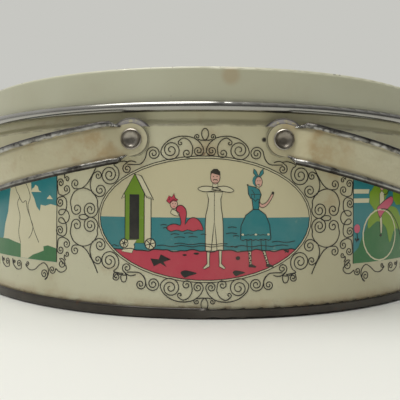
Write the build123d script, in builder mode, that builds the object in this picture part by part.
"""A round tinplate box for bobbins and other sewing notions, with a lift-off lid and two swing handles.

Frame: +Z is up, the origin is at the middle of the base, on the surface that the box stands on.
The front is on the -Y side. The handles fold down round the +X side and the -X side.
"""

import os
from math import atan2, cos, degrees, radians, sin

from build123d import *

# Driving dimensions, in millimetres and degrees
TIN = 0.4  # thickness of the tinplate in the box and the lid
BODY_RADIUS = 153.0  # outside of the body wall
BOX_HEIGHT = 100.6  # the lid's rim above the floor
SHOULDER_Z = 76.4  # where the wall turns in to the neck
SHOULDER_RISE = 2.4
SHOULDER_BEND = 0.6  # rounding of the wall's top corner, at mid-sheet
NECK_RADIUS = 150.3  # outside of the neck that the lid slides over
NECK_BEND = 1.5  # rounding where the shoulder turns up into the neck
NECK_CURL = 1.1  # radius of the curl at the neck's top edge, at mid-sheet
FOLD_GAP = 0.1  # between the folded layers of the bottom seam
SEAM_LOW = 1.2  # where the folds of the seam turn up
SEAM_TOP = 3.5  # where the outer fold turns over
BASE_RECESS = 3.0  # the base panel's underside above the floor
BASE_PANEL_BEND = 0.8  # rounding at the edge of the base panel
SEAM_BEND = 0.7  # rounding of the seam's lower corners
LID_GAP = 0.4  # between the neck and the lid's skirt
LID_REST_GAP = 0.35  # between the neck's curl and the lid's top
LID_CURL = 1.9  # radius of the lid's curled edge, at mid-sheet
LID_CURL_Z = 83.8  # middle of that curl
LID_EDGE = 1.4  # rounding of the lid's top edge, at mid-sheet
LID_RIM = 6.0  # width of the flat rim round the lid's sunken panel
LID_PANEL_DEPTH = 1.6
LID_STEP = 1.6  # width of the slope between the lid's rim and its panel
LID_STEP_BEND = 1.0
SIDE_SEAM_WIDTH = 5.0
PIVOT_X = 30.2  # each handle turns about a line through its two rivets, along Y
PIVOT_Z = 70.6
PAD_RADIUS = 6.9  # flat pressed out of the wall behind each ear
CAP_RADIUS = 8.7  # above the ear the flat is wider, where it cuts into the shoulder
CAP_FOOT = 5.2  # height of that wider part's lower edge above the pivot
PRESS_DEPTH = 9.0  # from a flat's face to well inside the wall
PAD_FACE = 152.4  # from the middle of the box to the flat's outer face
PIVOT_GAP = 0.15  # on each side of a handle's ear
PIN_CLEARANCE = 0.05  # radial, between a rivet and the ear that turns on it
HANDLE_TIN = 0.6
LEFT_DROP = 12.0  # how far each folded handle hangs below level
RIGHT_DROP = 14.5
LEG_OUT = 156.4  # from the middle of the box to a leg, at mid-sheet
LEG_STRAIGHT = 19.6  # the legs run straight for this far from the pivot
HANDLE_REACH = 130.8  # from the pivot line to the middle of the handle's end
HANDLE_END_RADIUS = 178.0
STRAP_WIDTH = 17.1  # over the rolled edges
EDGE_ROLL = 1.25  # radius of the rolled edges
EDGE_ROLL_OUT = 0.25  # how far the rolls stand out from mid-sheet
ROLL_START = 7.0  # from the pivot to the end of a rolled edge
EAR_RADIUS = 6.3
FLARE_START = 3.5  # between these two distances each ear widens to the strap
FLARE_END = 9.0
RAMP_START = 4.6  # each ear steps out to its leg between these two distances from the pivot
RAMP_END = 10.0
RAMP_ROUNDING = 3.5
RIVET_SHANK = 3.3
RIVET_HEAD = 4.15
RIVET_HEAD_THICK = 0.9
RIVET_RIM_DROP = 0.3  # from the lip of the cup to the head's outer edge
RIVET_ROUNDING = (0.2, 0.1)
CUP_MOUTH = 3.75  # radius of the bowl in a rivet's head
CUP_FLOOR = 0.6  # radius of the small flat at the bottom of the bowl
CUP_DEPTH = 2.1
TAIL_RADIUS = 4.2  # the rivet's spread end, inside the box
TAIL_THICK = 0.7
WASHER_RADIUS = 5.8
WASHER_THICK = 0.8

# Sizes that follow from them
WALL_MID = BODY_RADIUS - TIN / 2
NECK_MID = NECK_RADIUS - TIN / 2
LAYER = TIN + FOLD_GAP
SKIRT_MID = NECK_RADIUS + LID_GAP + TIN / 2
LID_TOP_MID = BOX_HEIGHT - TIN / 2
NECK_CURL_Z = BOX_HEIGHT - TIN - LID_REST_GAP - TIN / 2 - NECK_CURL
EAR_INNER = PAD_FACE + PIVOT_GAP
EAR_MID = EAR_INNER + HANDLE_TIN / 2
EAR_OUTER = EAR_INNER + HANDLE_TIN
RAMP_SLOPE = (LEG_OUT - EAR_MID) / (RAMP_END - RAMP_START)
ROLL_LEG_OUT = LEG_OUT + EDGE_ROLL_OUT
ROLL_END_OUT = ROLL_LEG_OUT - RAMP_SLOPE * (RAMP_END - ROLL_START)
ROLL_HEIGHT = STRAP_WIDTH / 2 - EDGE_ROLL  # from the strap's middle to the middle of a roll
WEB_HALF = ROLL_HEIGHT + EDGE_ROLL / 3  # the sheet between the rolls ends inside them
PAD_BACK = PAD_FACE - TIN
PIVOTS = {
    "front_left": (-PIVOT_X, -1),
    "front_right": (PIVOT_X, -1),
    "rear_left": (-PIVOT_X, 1),
    "rear_right": (PIVOT_X, 1),
}


def save(piece, name):
    """Label a finished piece and write it as one STEP file."""
    piece.part.label = name
    export_step(piece.part, f"parts/{name}.step")


def pivot_plane(x, side, out):
    """A plane across one pivot line, facing away from the box, at a distance from the middle."""
    return Plane(origin=(x, side * out, PIVOT_Z), x_dir=(-side, 0, 0), z_dir=(0, side, 0))


def inner_space():
    """Everything inside the middle of the wall's sheet: it trims the pressed flats to the wall."""
    with BuildPart() as space:
        with BuildSketch(Plane.XZ):
            with BuildLine():
                Polyline(
                    (0, 0),
                    (WALL_MID, 0),
                    (WALL_MID, SHOULDER_Z),
                    (NECK_MID, SHOULDER_Z + SHOULDER_RISE),
                    (NECK_MID, BOX_HEIGHT),
                    (0, BOX_HEIGHT),
                    close=True,
                )
            make_face()
        revolve(axis=Axis.Z)
    return space


def flat_outline(x, side, out, inset):
    """The outline of one pressed flat: a disc behind the ear, and a wider cap above it."""
    with BuildSketch(pivot_plane(x, side, out)) as outline:
        Circle(CAP_RADIUS - inset)
        with Locations((0, CAP_FOOT + inset - CAP_RADIUS)):
            Rectangle(2 * CAP_RADIUS, 2 * CAP_RADIUS, mode=Mode.SUBTRACT)
        Circle(PAD_RADIUS - inset)
    return outline


def pressed_flats():
    """The four flats that the ears bear on, as plugs that end in the wall."""
    with BuildPart() as plugs:
        for x, side in PIVOTS.values():
            extrude(flat_outline(x, side, PAD_FACE, 0).sketch, amount=-PRESS_DEPTH)
        rims = plugs.edges().filter_by(lambda edge: abs(edge.center().Y) > PAD_BACK)
        fillet(rims, radius=TIN)
        add(inner_space().part, mode=Mode.SUBTRACT)
    return plugs


def body_wall():
    """One sheet rolled round: hook of the bottom seam, wall, shoulder, neck, and a curl turned inwards."""
    hook_mid = WALL_MID + 2 * LAYER
    with BuildPart() as wall:
        with BuildSketch(Plane.XZ):
            with BuildLine():
                Line((hook_mid, SEAM_TOP - FOLD_GAP), (hook_mid, SEAM_LOW))
                JernArc((hook_mid, SEAM_LOW), (0, -1), LAYER, -180)
                FilletPolyline(
                    (WALL_MID, SEAM_LOW),
                    (WALL_MID, SHOULDER_Z),
                    (NECK_MID, SHOULDER_Z + SHOULDER_RISE),
                    (NECK_MID, NECK_CURL_Z),
                    radius=(SHOULDER_BEND, NECK_BEND),
                )
                JernArc((NECK_MID, NECK_CURL_Z), (0, 1), NECK_CURL, 270)
            trace(line_width=TIN)
        revolve(axis=Axis.Z)

        # The wall's two ends meet at the back in a flat lock seam, folded inwards
        seam_height = SHOULDER_Z - SEAM_TOP - 4 * TIN
        with BuildSketch(Plane.XZ.offset(-WALL_MID)):
            with Locations((0, SEAM_TOP + 2 * TIN + seam_height / 2)):
                Rectangle(SIDE_SEAM_WIDTH, seam_height)
        extrude(amount=2 * TIN)

        add(pressed_flats().part)
        for x, side in PIVOTS.values():
            pocket = flat_outline(x, side, PAD_BACK, TIN).sketch
            extrude(pocket, amount=-PRESS_DEPTH, mode=Mode.SUBTRACT)
            with BuildSketch(pivot_plane(x, side, PAD_FACE)):
                Circle(RIVET_SHANK + PIN_CLEARANCE)
            extrude(amount=-2 * TIN, mode=Mode.SUBTRACT)
    return wall


def base_disc():
    """The bottom: a sunken panel whose edge folds round the wall's hook in a double seam."""
    panel_z = BASE_RECESS + TIN / 2
    inner, outer = WALL_MID - LAYER, WALL_MID + 3 * LAYER
    hook_end = SEAM_LOW + TIN
    with BuildPart() as base:
        with BuildSketch(Plane.XZ):
            with BuildLine():
                FilletPolyline(
                    (0, panel_z),
                    (inner, panel_z),
                    (inner, TIN / 2),
                    (outer, TIN / 2),
                    (outer, SEAM_TOP),
                    radius=(BASE_PANEL_BEND, SEAM_BEND, SEAM_BEND),
                )
                JernArc((outer, SEAM_TOP), (0, 1), LAYER, 180)
                Line((outer - 2 * LAYER, SEAM_TOP), (outer - 2 * LAYER, hook_end))
            trace(line_width=TIN)
            # The traced line has a half-width end on the axis, which the revolve mustn't cross
            with Locations((-BODY_RADIUS, 0)):
                Rectangle(2 * BODY_RADIUS, 2 * BOX_HEIGHT, mode=Mode.SUBTRACT)
        revolve(axis=Axis.Z)
    return base


def lid_shell():
    """The lid: sunken panel, flat rim, rounded edge, skirt, and an open curl turned outwards."""
    panel_edge = SKIRT_MID - LID_RIM - LID_STEP
    panel_z = LID_TOP_MID - LID_PANEL_DEPTH
    with BuildPart() as lid:
        with BuildSketch(Plane.XZ):
            with BuildLine():
                FilletPolyline(
                    (0, panel_z),
                    (panel_edge, panel_z),
                    (panel_edge + LID_STEP, LID_TOP_MID),
                    (SKIRT_MID, LID_TOP_MID),
                    (SKIRT_MID, LID_CURL_Z),
                    radius=(LID_STEP_BEND, LID_STEP_BEND, LID_EDGE),
                )
                JernArc((SKIRT_MID, LID_CURL_Z), (0, -1), LID_CURL, 270)
            trace(line_width=TIN)
            with Locations((-BODY_RADIUS, 0)):
                Rectangle(2 * BODY_RADIUS, 3 * BOX_HEIGHT, mode=Mode.SUBTRACT)
        revolve(axis=Axis.Z)
    return lid


def handle_plane(side, drop):
    """The plane that a folded handle lies in: its X runs from the pivot line along the legs."""
    tilt = radians(drop)
    return Plane(
        origin=(side * PIVOT_X, 0, PIVOT_Z),
        x_dir=(side * cos(tilt), 0, -sin(tilt)),
        z_dir=(side * sin(tilt), 0, cos(tilt)),
    )


def handle_line(ear, leg_out):
    """A line along the handle: ear, straight leg, corner, long end, and the same back to the other ear."""
    end_radius = HANDLE_END_RADIUS + leg_out - LEG_OUT
    run = LEG_STRAIGHT + HANDLE_END_RADIUS - HANDLE_REACH
    corner = (end_radius**2 - leg_out**2 - run**2) / (2 * (end_radius - leg_out))
    end_half = degrees(atan2(leg_out - corner, run))
    near_ear = [(s, -y) for s, y in ear]
    near = FilletPolyline(*near_ear, (LEG_STRAIGHT, -leg_out), radius=RAMP_ROUNDING)
    first = JernArc(near @ 1, near % 1, corner, 90 - end_half)
    middle = JernArc(first @ 1, first % 1, end_radius, 2 * end_half)
    last = JernArc(middle @ 1, middle % 1, corner, 90 - end_half)
    FilletPolyline(last @ 1, *reversed(ear), radius=RAMP_ROUNDING)


def bail():
    """One handle lying level: a strap on edge with rolled edges, stepped in to flat round ears."""
    web_ear = [(-EAR_RADIUS - HANDLE_TIN, EAR_MID), (RAMP_START, EAR_MID), (RAMP_END, LEG_OUT)]
    roll_ear = [(ROLL_START, ROLL_END_OUT), (RAMP_END, ROLL_LEG_OUT)]
    across = Plane(origin=(0, 0, 0), x_dir=(1, 0, 0), z_dir=(0, 1, 0))
    with BuildPart() as strap:
        with BuildSketch(Plane.XY.offset(-WEB_HALF)):
            with BuildLine():
                handle_line(web_ear, LEG_OUT)
            trace(line_width=HANDLE_TIN)
        extrude(amount=2 * WEB_HALF)

        # Seen from the side, a leg is as wide as the strap and narrows to a round ear
        with BuildSketch(across):
            Circle(EAR_RADIUS)
            with BuildLine():
                Polyline(
                    (0, EAR_RADIUS),
                    (FLARE_START, EAR_RADIUS),
                    (FLARE_END, WEB_HALF),
                    (2 * HANDLE_REACH, WEB_HALF),
                    (2 * HANDLE_REACH, -WEB_HALF),
                    (FLARE_END, -WEB_HALF),
                    (FLARE_START, -EAR_RADIUS),
                    (0, -EAR_RADIUS),
                    close=True,
                )
            make_face()
        extrude(amount=2 * LEG_OUT, both=True, mode=Mode.INTERSECT)

        for outward in (-1, 1):
            with BuildLine(Plane.XY.offset(outward * ROLL_HEIGHT)) as roll:
                handle_line(roll_ear, ROLL_LEG_OUT)
            edge = roll.wire()
            with BuildSketch(Plane(origin=edge @ 0, x_dir=(0, 0, outward), z_dir=edge % 0)):
                Circle(EDGE_ROLL)
            sweep(path=edge)

        with BuildSketch(across):
            Circle(RIVET_SHANK + PIN_CLEARANCE)
        extrude(amount=2 * LEG_OUT, both=True, mode=Mode.SUBTRACT)
    return strap


def folded_handle(level, side, drop):
    """The level handle, turned down round its pivots to where it rests when it is folded."""
    with BuildPart() as folded:
        add(handle_plane(side, drop).location * level.part)
    return folded


def rivet(x, side):
    """A rivet: head with a bowl outside, shank through ear, wall and washer, spread tail inside."""
    head_face = EAR_OUTER + PIVOT_GAP + RIVET_HEAD_THICK
    tail_front = head_face - PAD_BACK + WASHER_THICK
    tail_back = tail_front + TAIL_THICK
    out = pivot_plane(x, side, head_face)
    lengthwise = Plane(origin=out.origin, x_dir=out.x_dir, z_dir=out.x_dir.cross(out.z_dir))
    with BuildPart() as pin:
        with BuildSketch(lengthwise):
            with BuildLine():
                floor = Line((0, -CUP_DEPTH), (CUP_FLOOR, -CUP_DEPTH))
                bowl = TangentArc(floor @ 1, (CUP_MOUTH, 0), tangent=(1, 0))
                head = FilletPolyline(
                    bowl @ 1,
                    (RIVET_HEAD, -RIVET_RIM_DROP),
                    (RIVET_HEAD, -RIVET_HEAD_THICK),
                    (RIVET_SHANK, -RIVET_HEAD_THICK),
                    radius=RIVET_ROUNDING,
                )
                Polyline(
                    head @ 1,
                    (RIVET_SHANK, -tail_front),
                    (TAIL_RADIUS, -tail_front),
                    (TAIL_RADIUS, -tail_back),
                    (0, -tail_back),
                    floor @ 0,
                )
            make_face()
        revolve(axis=Axis(out.origin, out.z_dir))
    return pin


def washer(x, side):
    """The round plate inside the box that a rivet's tail is spread against."""
    with BuildPart() as plate:
        with BuildSketch(pivot_plane(x, side, PAD_BACK)):
            Circle(WASHER_RADIUS)
            Circle(RIVET_SHANK + PIN_CLEARANCE, mode=Mode.SUBTRACT)
        extrude(amount=-WASHER_THICK)
    return plate


os.makedirs("parts", exist_ok=True)
save(body_wall(), "body_wall")
save(base_disc(), "base_disc")
save(lid_shell(), "lid_shell")
level_handle = bail()
save(folded_handle(level_handle, -1, LEFT_DROP), "left_handle")
save(folded_handle(level_handle, 1, RIGHT_DROP), "right_handle")
for place, (pivot_x, pivot_side) in PIVOTS.items():
    save(rivet(pivot_x, pivot_side), f"rivet_{place}")
    save(washer(pivot_x, pivot_side), f"washer_{place}")
